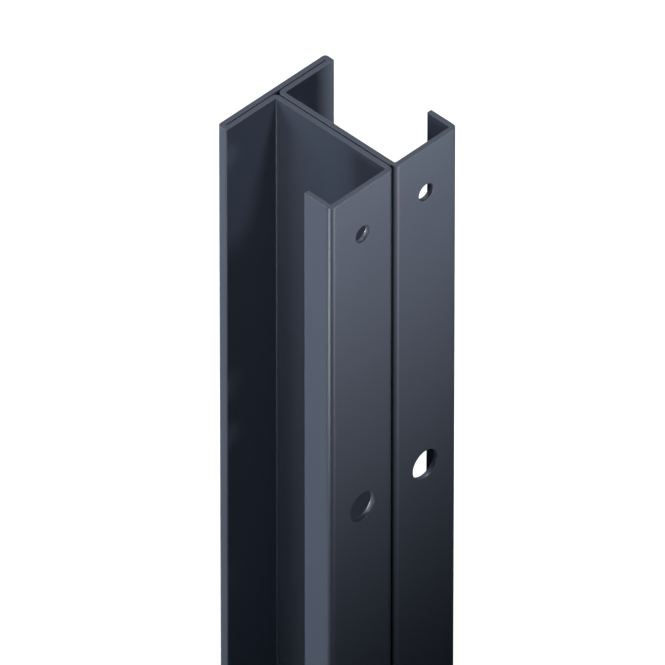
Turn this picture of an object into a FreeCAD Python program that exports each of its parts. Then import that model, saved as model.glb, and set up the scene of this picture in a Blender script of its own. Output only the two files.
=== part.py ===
import FreeCAD, Part
import math
import os
import Sketcher

# Metal fence post, roll-formed from one strip of coated sheet steel, in millimetres.
# The post stands upright on Z = 0, its section is centred on X = 0 and Y = 0,
# the drilled front flanges face -Y and the double back flange faces +Y.
# The strip runs from one front lip, along that flange, back through the web,
# out along the back flange, round its hem, right across the back and home the same way.

doc = FreeCAD.newDocument("FencePost")

# Driving dimensions
dimensions = [
    ("post_length", 1500.0, "from the cut foot to the cut top"),
    ("front_width", 50.0, "across the two front flanges, over the lips"),
    ("back_width", 42.6, "across the back flange, over its hems"),
    ("post_depth", 48.0, "from the front face to the back face"),
    ("lip_depth", 10.4, "how far a lip turns back from the front face"),
    ("sheet", 1.7, "1.5 mm steel with its zinc and powder coat"),
    ("hem_gap", 0.3, "slit left between the two layers of the back flange"),
    ("web_gap", 0.35, "slit left between the two webs"),
    ("inside_bend", 0.4, "inner radius of every right-angle bend, where the coat gathers"),
    ("outside_bend", 1.8, "outer radius of the same bends"),
    ("hem_back_corner", 1.2, "outer radius of the pressed hem's corner on the back face"),
    ("hem_front_corner", 0.5, "outer radius of its other corner, at the channel"),
    ("hole_spacing", 25.0, "between the left and right holes of a pair, each in the middle of its flange"),
    ("top_hole_bore", 5.5, "diameter of the small pair near the top"),
    ("top_hole_drop", 16.4, "from the cut top to the small pair"),
    ("lower_hole_bore", 9.7, "diameter of the large pair"),
    ("hole_pitch", 100.0, "from the small pair down to the large pair"),
]

sizes = doc.addObject("Spreadsheet::Sheet", "Sizes")
for row, (alias, value, meaning) in enumerate(dimensions, start=1):
    sizes.set(f"A{row}", alias)
    sizes.set(f"B{row}", str(value))
    sizes.set(f"C{row}", meaning)
    sizes.setAlias(f"B{row}", alias)
doc.recompute()


def size_of(expression):
    """Value in millimetres of an expression on the sheet's cells."""
    value = sizes.evalExpression(expression)
    return float(getattr(value, "Value", value))


def origin_plane(body, role):
    """One of the body's own origin planes, by its role."""
    return next(feature for feature in body.Origin.OriginFeatures if feature.Role == role)


# Post body
body = doc.addObject("PartDesign::Body", "Post")
body.Label = "post"

half_back = "Sizes.back_width / 2"
half_front = "Sizes.front_width / 2"
web_inner = "Sizes.web_gap / 2"
web_outer = "Sizes.web_gap / 2 + Sizes.sheet"
hem_thickness = "2 * Sizes.sheet + Sizes.hem_gap"
inside_bend = "Sizes.inside_bend"
outside_bend = "Sizes.outside_bend"
hem_back_corner = "Sizes.hem_back_corner"
hem_front_corner = "Sizes.hem_front_corner"

# Right half of the folded section, walked clockwise from the middle of the back.
# Each run is flat along X ("across", at a distance from the front face) or along Y
# ("deep", at a distance from the middle), and ends in a sharp corner or a bend.
section_runs = [
    ("back_face", "across", "Sizes.post_depth", hem_back_corner),
    ("hem_end", "deep", half_back, hem_front_corner),
    ("hem_inner_face", "across", f"Sizes.post_depth - ({hem_thickness})", inside_bend),
    ("web_outer_face", "deep", web_outer, inside_bend),
    ("flange_inner_face", "across", "Sizes.sheet", inside_bend),
    ("lip_inner_face", "deep", f"{half_front} - Sizes.sheet", None),
    ("lip_edge", "across", "Sizes.lip_depth", None),
    ("lip_outer_face", "deep", half_front, outside_bend),
    ("front_face", "across", None, outside_bend),
    ("web_inner_face", "deep", web_inner, outside_bend),
    ("slit_front_face", "across", "Sizes.post_depth - Sizes.sheet - Sizes.hem_gap", "fold"),
    ("slit_back_face", "across", "Sizes.post_depth - Sizes.sheet", None),
    ("middle", "deep", None, None),
]
fold_centre = f"{half_back} - Sizes.sheet - Sizes.hem_gap / 2"


def run_place(run):
    """Distance of a run from the axis that it is parallel to."""
    return size_of(run[2]) if run[2] else 0.0


def corner_point(run, following):
    """Sharp corner where a run meets the one that follows it."""
    if run[1] == "across":
        return FreeCAD.Vector(run_place(following), run_place(run), 0)
    return FreeCAD.Vector(run_place(run), run_place(following), 0)


def draw_section(sketch, runs):
    """Closed outline of straight runs joined by corners, tangent bends and one fold."""
    count = len(runs)
    ends = [[None, None] for _ in runs]
    for index, run in enumerate(runs):
        following = (index + 1) % count
        if run[3] == "fold":
            centre_x = size_of(fold_centre)
            ends[index][1] = FreeCAD.Vector(centre_x, run_place(run), 0)
            ends[following][0] = FreeCAD.Vector(centre_x, run_place(runs[following]), 0)
        else:
            corner = corner_point(run, runs[following])
            ends[index][1] = corner
            ends[following][0] = corner

    # Pull the run ends back from each bend to where its arc begins
    bends = {}
    for index, run in enumerate(runs):
        following = (index + 1) % count
        if run[3] in (None, "fold"):
            continue
        radius = size_of(run[3])
        corner = ends[index][1]
        into = (ends[index][0] - corner).normalize()
        out = (ends[following][1] - corner).normalize()
        ends[index][1] = corner + into * radius
        ends[following][0] = corner + out * radius
        bends[index] = (corner + into * radius + out * radius, radius)

    lines = []
    for run, (start, end) in zip(runs, ends):
        line = sketch.addGeometry(Part.LineSegment(start, end), False)
        lines.append(line)
        direction = "Horizontal" if run[1] == "across" else "Vertical"
        sketch.addConstraint(Sketcher.Constraint(direction, line))
        axis = -1 if run[1] == "across" else -2
        if run[2] is None:
            sketch.addConstraint(Sketcher.Constraint("PointOnObject", line, 1, axis))
            continue
        kind = "DistanceY" if run[1] == "across" else "DistanceX"
        place = sketch.addConstraint(Sketcher.Constraint(kind, -1, 1, line, 1, run_place(run)))
        sketch.renameConstraint(place, run[0])
        sketch.setExpression(f"Constraints.{run[0]}", run[2])

    for index, run in enumerate(runs):
        following = (index + 1) % count
        if run[3] is None:
            sketch.addConstraint(Sketcher.Constraint("Coincident", lines[index], 2, lines[following], 1))
            continue
        start = ends[index][1]
        end = ends[following][0]
        if run[3] == "fold":
            centre = (start + end) * 0.5
            radius = (start - end).Length / 2
        else:
            centre, radius = bends[index]
        # An arc in a sketch runs anticlockwise, so a clockwise bend is entered at its end
        turn = (start - centre).cross(end - centre).z
        anticlockwise = turn > 0 or run[3] == "fold"
        first, last = (start, end) if anticlockwise else (end, start)
        first_angle = FreeCAD.Vector(1, 0, 0).getAngle(first - centre)
        last_angle = FreeCAD.Vector(1, 0, 0).getAngle(last - centre)
        if (first - centre).y < 0:
            first_angle = -first_angle
        if (last - centre).y < 0:
            last_angle = -last_angle
        circle = Part.Circle(centre, FreeCAD.Vector(0, 0, 1), radius)
        arc = sketch.addGeometry(Part.ArcOfCircle(circle, first_angle, last_angle), False)
        entry, leave = (1, 2) if anticlockwise else (2, 1)
        sketch.addConstraint(Sketcher.Constraint("Tangent", lines[index], 2, arc, entry))
        sketch.addConstraint(Sketcher.Constraint("Tangent", arc, leave, lines[following], 1))
        if run[3] == "fold":
            place = sketch.addConstraint(Sketcher.Constraint("DistanceX", -1, 1, arc, 3, centre.x))
            sketch.renameConstraint(place, "slit_fold_centre")
            sketch.setExpression("Constraints.slit_fold_centre", fold_centre)
        else:
            name = f"{run[0]}_bend"
            bend = sketch.addConstraint(Sketcher.Constraint("Radius", arc, radius))
            sketch.renameConstraint(bend, name)
            sketch.setExpression(f"Constraints.{name}", run[3])


section = body.newObject("Sketcher::SketchObject", "HalfSection")
section.AttachmentSupport = [(origin_plane(body, "XY_Plane"), "")]
section.MapMode = "FlatFace"
section.setExpression("AttachmentOffset.Base.y", "-Sizes.post_depth / 2")
draw_section(section, section_runs)
doc.recompute()
if not section.FullyConstrained:
    raise RuntimeError("the half section has a free dimension left")

half_post = body.newObject("PartDesign::Pad", "HalfPost")
half_post.Profile = section
half_post.setExpression("Length", "Sizes.post_length")
doc.recompute()
half_volume = half_post.Shape.Volume

# Fixing holes through the front flange: a small one near the top, a large one below it
holes = body.newObject("Sketcher::SketchObject", "FixingHoles")
holes.AttachmentSupport = [(origin_plane(body, "XZ_Plane"), "")]
holes.MapMode = "FlatFace"
holes.setExpression("AttachmentOffset.Base.z", "Sizes.post_depth / 2")
hole_plan = [
    ("top_hole", "Sizes.top_hole_bore", "Sizes.post_length - Sizes.top_hole_drop"),
    ("lower_hole", "Sizes.lower_hole_bore",
     "Sizes.post_length - Sizes.top_hole_drop - Sizes.hole_pitch"),
]
for name, bore, level in hole_plan:
    centre = FreeCAD.Vector(size_of("Sizes.hole_spacing") / 2, size_of(level), 0)
    circle = holes.addGeometry(Part.Circle(centre, FreeCAD.Vector(0, 0, 1), size_of(bore) / 2), False)
    offset = holes.addConstraint(Sketcher.Constraint("DistanceX", -1, 1, circle, 3, centre.x))
    holes.renameConstraint(offset, f"{name}_offset")
    holes.setExpression(f"Constraints.{name}_offset", "Sizes.hole_spacing / 2")
    height = holes.addConstraint(Sketcher.Constraint("DistanceY", -1, 1, circle, 3, centre.y))
    holes.renameConstraint(height, f"{name}_height")
    holes.setExpression(f"Constraints.{name}_height", level)
    width = holes.addConstraint(Sketcher.Constraint("Diameter", circle, size_of(bore)))
    holes.renameConstraint(width, f"{name}_bore")
    holes.setExpression(f"Constraints.{name}_bore", bore)

drilling = body.newObject("PartDesign::Pocket", "DrilledFlange")
drilling.Profile = holes
drilling.Type = "Length"
drilling.setExpression("Length", "2 * Sizes.sheet")
doc.recompute()
drilled_volume = drilling.Shape.Volume
hole_area = sum(size_of(bore) ** 2 for _, bore, _ in hole_plan) * math.pi / 4
expected = half_volume - hole_area * size_of("Sizes.sheet")
if abs(drilled_volume - expected) > 0.01 * hole_area:
    raise RuntimeError("the fixing holes don't pass cleanly through the front flange")

# Left half
whole_post = body.newObject("PartDesign::Mirrored", "WholePost")
whole_post.Originals = [half_post, drilling]
whole_post.MirrorPlane = (origin_plane(body, "YZ_Plane"), [""])
whole_post.Refine = True
body.Tip = whole_post
doc.recompute()

# Checks before anything is written
for item in doc.Objects:
    if "Invalid" in item.State or "Error" in item.State:
        raise RuntimeError(f"{item.Name} failed: {item.State}")
shape = body.Shape
if shape.isNull() or not shape.isValid() or len(shape.Solids) != 1:
    raise RuntimeError("the post isn't one valid solid")
if abs(shape.Volume - 2 * drilled_volume) > 1e-4 * drilled_volume:
    raise RuntimeError("the two halves don't add up to the whole post")

os.makedirs("parts", exist_ok=True)
shape.exportStep(f"parts/{body.Label}.step")
box = shape.BoundBox
print(f"{body.Label}: {box.XLength:.2f} x {box.YLength:.2f} x {box.ZLength:.2f} mm,",
      f"{len(shape.Faces)} faces, volume {shape.Volume:.0f} mm3")
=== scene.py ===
import math

import bmesh
import bpy
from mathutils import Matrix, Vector


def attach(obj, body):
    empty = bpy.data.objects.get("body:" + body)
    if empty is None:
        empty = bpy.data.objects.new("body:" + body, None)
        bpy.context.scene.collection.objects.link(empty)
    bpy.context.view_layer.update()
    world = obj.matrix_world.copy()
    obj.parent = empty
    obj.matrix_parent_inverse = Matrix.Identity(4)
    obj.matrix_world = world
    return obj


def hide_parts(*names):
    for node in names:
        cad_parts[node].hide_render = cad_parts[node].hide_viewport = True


# Metal fence post, folded from one strip of sheet and finished in satin powder coat.
# Metres, in the CAD's own axes: the drilled front flanges face -Y, the double back
# flange faces +Y, and the post stands on Z = 0.

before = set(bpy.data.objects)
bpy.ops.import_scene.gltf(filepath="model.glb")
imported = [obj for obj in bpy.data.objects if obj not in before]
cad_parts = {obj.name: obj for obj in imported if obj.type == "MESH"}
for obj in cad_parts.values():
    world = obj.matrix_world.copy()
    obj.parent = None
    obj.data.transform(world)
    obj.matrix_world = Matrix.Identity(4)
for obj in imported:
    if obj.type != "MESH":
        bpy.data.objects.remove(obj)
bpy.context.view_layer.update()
mm = 0.001


def keepOnly(piece):  # the piece is the one thing selected, and active
    bpy.ops.object.select_all(action="DESELECT")
    piece.select_set(True)
    bpy.context.view_layer.objects.active = piece


def pickCorners(piece, wanted):  # in edit mode, picks the corners whose place is wanted
    bpy.ops.mesh.select_mode(type="VERT")
    bpy.ops.mesh.select_all(action="DESELECT")
    shape = bmesh.from_edit_mesh(piece.data)
    for corner in shape.verts:
        if wanted(corner.co):
            corner.select = True
    shape.select_flush(True)
    bmesh.update_edit_mesh(piece.data)


def applyAll(piece):  # applies the piece's modifiers in their order
    keepOnly(piece)
    for modifier in list(piece.modifiers):
        bpy.ops.object.modifier_apply(modifier=modifier.name)


def near(value, target):
    return abs(value - target) < 0.01 * mm


post = {
    "length": 1500 * mm,
    "frontWidth": 50 * mm,
    "backWidth": 42.6 * mm,
    "depth": 48 * mm,
    "lipDepth": 10.4 * mm,
    "sheet": 1.7 * mm,
    "hemGap": 0.3 * mm,
    "webGap": 0.35 * mm,
    "insideBend": 0.4 * mm,
    "outsideBend": 1.8 * mm,
    "hemBackCorner": 1.2 * mm,
    "hemFrontCorner": 0.5 * mm,
    "bendSteps": 12,
    "hemSteps": 8,
    "slitSteps": 3,
    "holeSpacing": 25 * mm,
    "holes": [(5.5 * mm, 16.4 * mm), (9.7 * mm, 116.4 * mm)],  # bore, drop from the cut top
    "holeSteps": 96,
    "coatEdge": 0.22 * mm,  # how far the coat rounds a cut edge
    "coatEdgeSteps": 3,
    "smoothBelow": 35,  # degrees between faces
}


def foldHalfSection(plan):  # right half of the section at the foot, as one flat face
    sheet = plan["sheet"]
    back = plan["depth"] / 2
    hemEnd = plan["backWidth"] / 2
    flangeEnd = plan["frontWidth"] / 2
    webInner = plan["webGap"] / 2
    innerLayer = back - 2 * sheet - plan["hemGap"]

    # The hem's outer corner is a small square, and every run is pulled out of it in turn
    bpy.ops.mesh.primitive_plane_add(size=sheet, location=(hemEnd - sheet / 2, back - sheet / 2, 0))
    piece = bpy.context.object
    piece.name = "foldedPost"
    bpy.ops.object.transform_apply(location=True, rotation=True, scale=True)
    bpy.ops.object.mode_set(mode="EDIT")

    def pull(x, y, wanted=None):  # pulls the picked edge along, or first picks another one
        if wanted:
            pickCorners(piece, wanted)
        bpy.ops.mesh.extrude_region_move(TRANSFORM_OT_translate={"value": (x, y, 0)})

    pull(sheet - hemEnd, 0, lambda p: near(p.x, hemEnd - sheet))  # outer back layer
    pull(0, -plan["hemGap"], lambda p: near(p.y, back - sheet) and p.x > hemEnd - 1.01 * sheet)
    pull(0, -sheet)
    pull(webInner + 2 * sheet - hemEnd, 0,  # inner back layer
         lambda p: near(p.x, hemEnd - sheet) and p.y < back - 1.1 * sheet)
    pull(-sheet, 0)
    pull(0, sheet - back - innerLayer,  # web
         lambda p: near(p.y, innerLayer) and p.x < webInner + 1.01 * sheet)
    pull(0, -sheet)
    pull(flangeEnd - webInner - 2 * sheet, 0,  # front flange
         lambda p: near(p.x, webInner + sheet) and p.y < 1.01 * sheet - back)
    pull(sheet, 0)
    pull(0, plan["lipDepth"] - sheet,  # return lip
         lambda p: near(p.y, sheet - back) and p.x > flangeEnd - 1.01 * sheet)

    bpy.ops.mesh.select_all(action="SELECT")
    bpy.ops.mesh.remove_doubles(threshold=0.001 * mm)
    bpy.ops.mesh.dissolve_limited(angle_limit=math.radians(1))

    bends = [
        (plan["outsideBend"], plan["bendSteps"], [
            (webInner, back - sheet - plan["hemGap"]), (webInner, -back), (flangeEnd, -back)]),
        (plan["insideBend"], plan["bendSteps"], [
            (webInner + sheet, innerLayer), (webInner + sheet, sheet - back),
            (flangeEnd - sheet, sheet - back)]),
        (plan["hemBackCorner"], plan["hemSteps"], [(hemEnd, back)]),
        (plan["hemFrontCorner"], plan["hemSteps"], [(hemEnd, innerLayer)]),
        (0.49 * plan["hemGap"], plan["slitSteps"], [
            (hemEnd - sheet, back - sheet), (hemEnd - sheet, back - sheet - plan["hemGap"])]),
    ]
    for radius, steps, corners in bends:
        pickCorners(piece, lambda p: any(near(p.x, x) and near(p.y, y) for x, y in corners))
        bpy.ops.mesh.bevel(offset=radius, segments=steps, affect="VERTICES", profile=0.5,
                           clamp_overlap=False)
    return piece


def raiseHalf(piece, plan):  # stands the section up to its full length
    bpy.ops.mesh.select_mode(type="FACE")
    bpy.ops.mesh.select_all(action="SELECT")
    bpy.ops.mesh.extrude_region_move(TRANSFORM_OT_translate={"value": (0, 0, plan["length"])})
    bpy.ops.mesh.select_all(action="SELECT")
    bpy.ops.mesh.normals_make_consistent(inside=False)
    bpy.ops.object.mode_set(mode="OBJECT")


def drillHalf(piece, plan):  # one small and one large hole through the front flange
    for bore, drop in plan["holes"]:
        place = (plan["holeSpacing"] / 2, (plan["sheet"] - plan["depth"]) / 2, plan["length"] - drop)
        bpy.ops.object.select_all(action="DESELECT")
        bpy.ops.mesh.primitive_cylinder_add(
            vertices=plan["holeSteps"], radius=bore / 2, depth=3 * plan["sheet"],
            location=place, rotation=(math.radians(90), 0, 0))
        drill = bpy.context.object
        keepOnly(piece)
        cut = piece.modifiers.new("drill", "BOOLEAN")
        cut.operation = "DIFFERENCE"
        cut.solver = "EXACT"
        cut.object = drill
        applyAll(piece)
        bpy.data.objects.remove(drill)


def joinHalves(piece, plan):  # opens the half at the middle and mirrors it across
    keepOnly(piece)
    bpy.ops.object.mode_set(mode="EDIT")
    pickCorners(piece, lambda p: near(p.x, 0))
    bpy.ops.mesh.delete(type="ONLY_FACE")
    bpy.ops.object.mode_set(mode="OBJECT")
    mirror = piece.modifiers.new("other half", "MIRROR")
    mirror.use_axis = (True, False, False)
    mirror.use_mirror_merge = True
    mirror.merge_threshold = 0.01 * mm
    applyAll(piece)


def roundCutEdges(piece, plan):  # the coat rounds each cut edge and each hole's rim
    edges = piece.modifiers.new("coated edges", "BEVEL")
    edges.limit_method = "ANGLE"
    edges.angle_limit = math.radians(plan["smoothBelow"])
    edges.width = plan["coatEdge"]
    edges.segments = plan["coatEdgeSteps"]
    edges.use_clamp_overlap = False
    applyAll(piece)
    bpy.ops.object.mode_set(mode="EDIT")
    bpy.ops.mesh.select_all(action="SELECT")
    bpy.ops.mesh.normals_make_consistent(inside=False)
    bpy.ops.object.mode_set(mode="OBJECT")
    bpy.ops.object.shade_smooth_by_angle(angle=math.radians(plan["smoothBelow"]))
    shading = piece.modifiers.new("flat faces stay flat", "WEIGHTED_NORMAL")
    shading.keep_sharp = True
    applyAll(piece)


bpy.ops.object.select_all(action="DESELECT")
foldedPost = foldHalfSection(post)
raiseHalf(foldedPost, post)
drillHalf(foldedPost, post)
joinHalves(foldedPost, post)
roundCutEdges(foldedPost, post)
print("post folded and drilled,", len(foldedPost.data.polygons), "faces")


coat = {
    "shade": (0.0350, 0.0458, 0.0715),
    "deeperShade": (0.0320, 0.0418, 0.0655),
    "roughness": (0.43, 0.47),
    "cloudScale": 28,  # slow change of shade and gloss, per metre
    "peelScale": 900,  # the coat's fine ripple, per metre
    "peelHeight": 0.006 * mm,
    "peelStrength": 0.12,
    "bendRoughness": 0.33,  # the coat lies smoother where it stretches round a lip's bend
    "bendReach": (0.6, 0.3),  # where that starts and is full, in bend radii from the side
    "paintedSeamShade": (0.001, 0.001, 0.0015),  # painted shade, deep in the seam between the front flanges
    "seamRoughness": 1,
    "seamReach": (0.75 * mm, 0.35 * mm),  # where that starts and is full, from the middle
    "paintedCutTopShade": (0.0135, 0.0205, 0.0380),  # painted shade: darker and duller on the flat cut top, so its paler rims stand out like highlights
    "cutRoughness": 0.6,
    "cutReach": (0.09 * mm, 0.03 * mm),  # where that starts and is full, below the top
    "edge": 0.1 * mm,  # how softly the bend gloss and the painted seam shade end behind the bends
}


def powderCoat(plan):
    material = bpy.data.materials.new("satinPowderCoat")
    material.use_nodes = True
    nodes, links = material.node_tree.nodes, material.node_tree.links
    shader = nodes["Principled BSDF"]
    place = nodes.new("ShaderNodeTexCoord")
    axes = nodes.new("ShaderNodeSeparateXYZ")
    links.new(place.outputs["Object"], axes.inputs["Vector"])
    aside = nodes.new("ShaderNodeMath")
    aside.operation = "ABSOLUTE"
    links.new(axes.outputs["X"], aside.inputs[0])

    def noise(scale, detail):
        texture = nodes.new("ShaderNodeTexNoise")
        texture.inputs["Scale"].default_value = scale
        texture.inputs["Detail"].default_value = detail
        links.new(place.outputs["Object"], texture.inputs["Vector"])
        return texture.outputs["Fac"]

    def ramp(value, start, end, low=0, high=1):
        step = nodes.new("ShaderNodeMapRange")
        for name, number in (("From Min", start), ("From Max", end),
                             ("To Min", low), ("To Max", high)):
            step.inputs[name].default_value = number
        links.new(value, step.inputs["Value"])
        return step.outputs["Result"]

    def mix(factor, low, high, kind="RGBA"):
        blend = nodes.new("ShaderNodeMix")
        blend.data_type = kind
        links.new(factor, blend.inputs["Factor"])
        for socket, value in ((blend.inputs["A"], low), (blend.inputs["B"], high)):
            if isinstance(value, bpy.types.NodeSocket):
                links.new(value, socket)
            else:
                socket.default_value = value
        return blend.outputs["Result"]

    def both(first, second):
        product = nodes.new("ShaderNodeMath")
        product.operation = "MULTIPLY"
        links.new(first, product.inputs[0])
        links.new(second, product.inputs[1])
        return product.outputs["Value"]

    bend = post["outsideBend"]
    behindBend = bend - post["depth"] / 2
    side = post["frontWidth"] / 2
    top = post["length"]
    fromMiddle = aside.outputs["Value"]
    atFront = ramp(axes.outputs["Y"], behindBend + plan["edge"], behindBend - plan["edge"])
    lipBend = both(atFront, ramp(fromMiddle, *(side - reach * bend for reach in plan["bendReach"])))
    # painted shade: this mask blackens the seam between the front bends, where real shade falls
    paintedSeamMask = both(atFront, ramp(fromMiddle, *plan["seamReach"]))
    cutTop = ramp(axes.outputs["Z"], *(top - reach for reach in plan["cutReach"]))

    cloud = noise(plan["cloudScale"], 3)
    shade = mix(cloud, (*plan["deeperShade"], 1), (*plan["shade"], 1))
    # painted shade on the flat cut top, so its rounded rims read as highlights
    shade = mix(cutTop, shade, (*plan["paintedCutTopShade"], 1))
    # painted shade deep in the seam between the front bends
    links.new(mix(paintedSeamMask, shade, (*plan["paintedSeamShade"], 1)), shader.inputs["Base Color"])
    gloss = ramp(cloud, 0, 1, *plan["roughness"])
    gloss = mix(lipBend, gloss, plan["bendRoughness"], "FLOAT")
    gloss = mix(cutTop, gloss, plan["cutRoughness"], "FLOAT")
    links.new(mix(paintedSeamMask, gloss, plan["seamRoughness"], "FLOAT"), shader.inputs["Roughness"])

    ripple = nodes.new("ShaderNodeBump")
    ripple.inputs["Strength"].default_value = plan["peelStrength"]
    ripple.inputs["Distance"].default_value = plan["peelHeight"]
    links.new(noise(plan["peelScale"], 2), ripple.inputs["Height"])
    links.new(ripple.outputs["Normal"], shader.inputs["Normal"])
    return material


foldedPost.data.materials.clear()
foldedPost.data.materials.append(powderCoat(coat))
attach(foldedPost, "root")
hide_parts("post")
print("powder coat on")

studio = {
    "floorSize": 400,
    "floorShade": 0.8,
    "floorLight": 4.6,  # the floor's own light, so that it stays white behind the post
    "floorLightAngle": 70,
    "fill": 0.01,  # what reaches the post from all round
    "backdrop": 1.1,
}


def whiteFloor(plan):
    bpy.ops.object.select_all(action="DESELECT")
    bpy.ops.mesh.primitive_plane_add(size=plan["floorSize"], location=(0, 0, 0))
    floor = bpy.context.object
    floor.name = "studioFloor"
    material = bpy.data.materials.new("whiteFloor")
    material.use_nodes = True
    shader = material.node_tree.nodes["Principled BSDF"]
    shade = plan["floorShade"]
    shader.inputs["Base Color"].default_value = (shade, shade, shade, 1)
    shader.inputs["Roughness"].default_value = 1
    shader.inputs["Specular IOR Level"].default_value = 0
    floor.data.materials.append(material)
    floor.visible_diffuse = False  # the lamps alone shade the post
    floor.visible_glossy = False

    litByIt = bpy.data.collections.new("litByFloorLight")
    litByIt.objects.link(floor)
    bpy.ops.object.light_add(type="SUN", location=(0, 0, 4))
    light = bpy.context.object
    light.name = "floorLight"
    light.data.energy = plan["floorLight"]
    light.data.angle = math.radians(plan["floorLightAngle"])
    light.light_linking.receiver_collection = litByIt


def whiteSurroundings(plan):  # white to look at, and only a faint fill on the post
    world = bpy.data.worlds.new("studio")
    bpy.context.scene.world = world
    world.use_nodes = True
    nodes, links = world.node_tree.nodes, world.node_tree.links
    path = nodes.new("ShaderNodeLightPath")
    glow = nodes.new("ShaderNodeMix")
    glow.inputs["A"].default_value = plan["fill"]
    glow.inputs["B"].default_value = plan["backdrop"]
    links.new(path.outputs["Is Camera Ray"], glow.inputs["Factor"])
    links.new(glow.outputs["Result"], nodes["Background"].inputs["Strength"])
    nodes["Background"].inputs["Color"].default_value = (1, 1, 1, 1)


whiteFloor(studio)
whiteSurroundings(studio)
print("floor and surroundings ready")

softboxes = {  # size, place, what it points at, brightness
    "backHigh": ((0.5, 0.5), (-0.58, 0.58, 2.02), (0, 0, 1.45), 4),
    "leftLow": ((0.5, 0.8), (-1.2, 0.3, 0.3), (0, 0, 1.4), 1.0),
    "bendGlow": ((0.12, 0.08), (-0.25, -0.07, 1.28), (-0.025, -0.023, 1.475), 1),
    "bendGlint": ((0.08, 0.05), (-0.17, -0.06, 1.345), (-0.025, -0.023, 1.475), 6),
}
spots = {  # place, what it points at, cone in degrees, radius, power, softness if not full
    "topSpot": ((0.18, 0.18, 2.47), (0, 0, 1.50), 20, 0.06, 46),
    "frontHighSpot": ((0.20, -0.75, 2.25), (0, 0, 1.56), 24, 0.10, 28),
    "frontSpot": ((0.20, -0.88, 1.40), (0, 0, 1.66), 32, 0.12, 64),
    "frontLowSpot": ((0.18, -0.78, 1.05), (0, 0, 1.59), 26, 0.10, 13),
    "leftSpot": ((-0.79, -0.14, 1.60), (0, 0, 1.62), 26, 0.10, 22),
    "leftLowSpot": ((-0.75, -0.27, 1.05), (0, 0, 1.58), 26, 0.15, 7),
    "leftHighSpot": ((-0.75, 0.27, 1.80), (0, 0, 1.56), 26, 0.15, 14),
    "backSpot": ((-0.31, 0.85, 1.30), (0, 0, 1.38), 46, 0.06, 94),
    "upperRight": ((1.2, 0.25, 1.48), (0, 0, 1.38), 32, 0.15, 36),
    "lowerFrontLeft": ((-1.0, -2.2, 1.1), (0, 0, 0.62), 31, 0.05, 110, 0.4),
    "lowerFrontRight": ((1.3, -2.0, 1.1), (0, 0, 0.62), 31, 0.05, 80, 0.4),
    "lowerBackLeft": ((-1.6, 1.8, 1.1), (0, 0, 0.60), 29, 0.05, 150, 0.3),
    "lowerBackRight": ((1.2, 2.1, 1.1), (0, 0, 0.60), 29, 0.05, 110, 0.3),
    "lowerRight": ((2.4, 0.1, 1.1), (0, 0, 0.62), 31, 0.05, 110, 0.4),
}


def aimAt(lamp, target):
    lamp.rotation_euler = (Vector(target) - lamp.location).to_track_quat("-Z", "Y").to_euler()
    lamp.visible_camera = False


def softbox(name, size, place, target, brightness):
    bpy.ops.object.light_add(type="AREA", location=place)
    lamp = bpy.context.object
    lamp.name = name
    lamp.data.shape = "RECTANGLE"
    lamp.data.size, lamp.data.size_y = size
    lamp.data.energy = 4 * size[0] * size[1] * brightness  # watts that give this brightness
    aimAt(lamp, target)


def spot(name, place, target, cone, radius, power, softness=1):
    bpy.ops.object.light_add(type="SPOT", location=place)
    lamp = bpy.context.object
    lamp.name = name
    lamp.data.spot_size = math.radians(cone)
    lamp.data.spot_blend = softness
    lamp.data.shadow_soft_size = radius
    lamp.data.energy = power
    aimAt(lamp, target)


for lampName, plan in softboxes.items():
    softbox(lampName, *plan)
for lampName, plan in spots.items():
    spot(lampName, *plan)
print(len(softboxes) + len(spots), "lamps lit")


lookout = {
    "azimuth": -45.333,  # degrees round from the front
    "elevation": 40.850,
    "distance": 8,
    "lens": 1565.16,  # millimetres, so the view is nearly parallel
    "sensor": 36,
    "asideOfTop": -0.000088,  # the middle of the picture, from the middle of the cut top
    "aboveTop": -0.056425,
}


def addCamera(plan):
    turn, lift = math.radians(plan["azimuth"]), math.radians(plan["elevation"])
    back = Vector((math.sin(turn) * math.cos(lift), -math.cos(turn) * math.cos(lift), math.sin(lift)))
    aside = Vector((math.cos(turn), math.sin(turn), 0))
    above = back.cross(aside)
    middle = Vector((0, 0, post["length"])) + aside * plan["asideOfTop"] + above * plan["aboveTop"]
    bpy.ops.object.camera_add(location=middle + back * plan["distance"],
                              rotation=back.to_track_quat("Z", "Y").to_euler())
    camera = bpy.context.object
    camera.name = "lookout"
    camera.data.lens = plan["lens"]
    camera.data.sensor_width = plan["sensor"]
    camera.data.clip_start = 0.5
    camera.data.clip_end = 600
    bpy.context.scene.camera = camera


addCamera(lookout)
bpy.context.scene.view_settings.view_transform = "Standard"
print("camera placed")
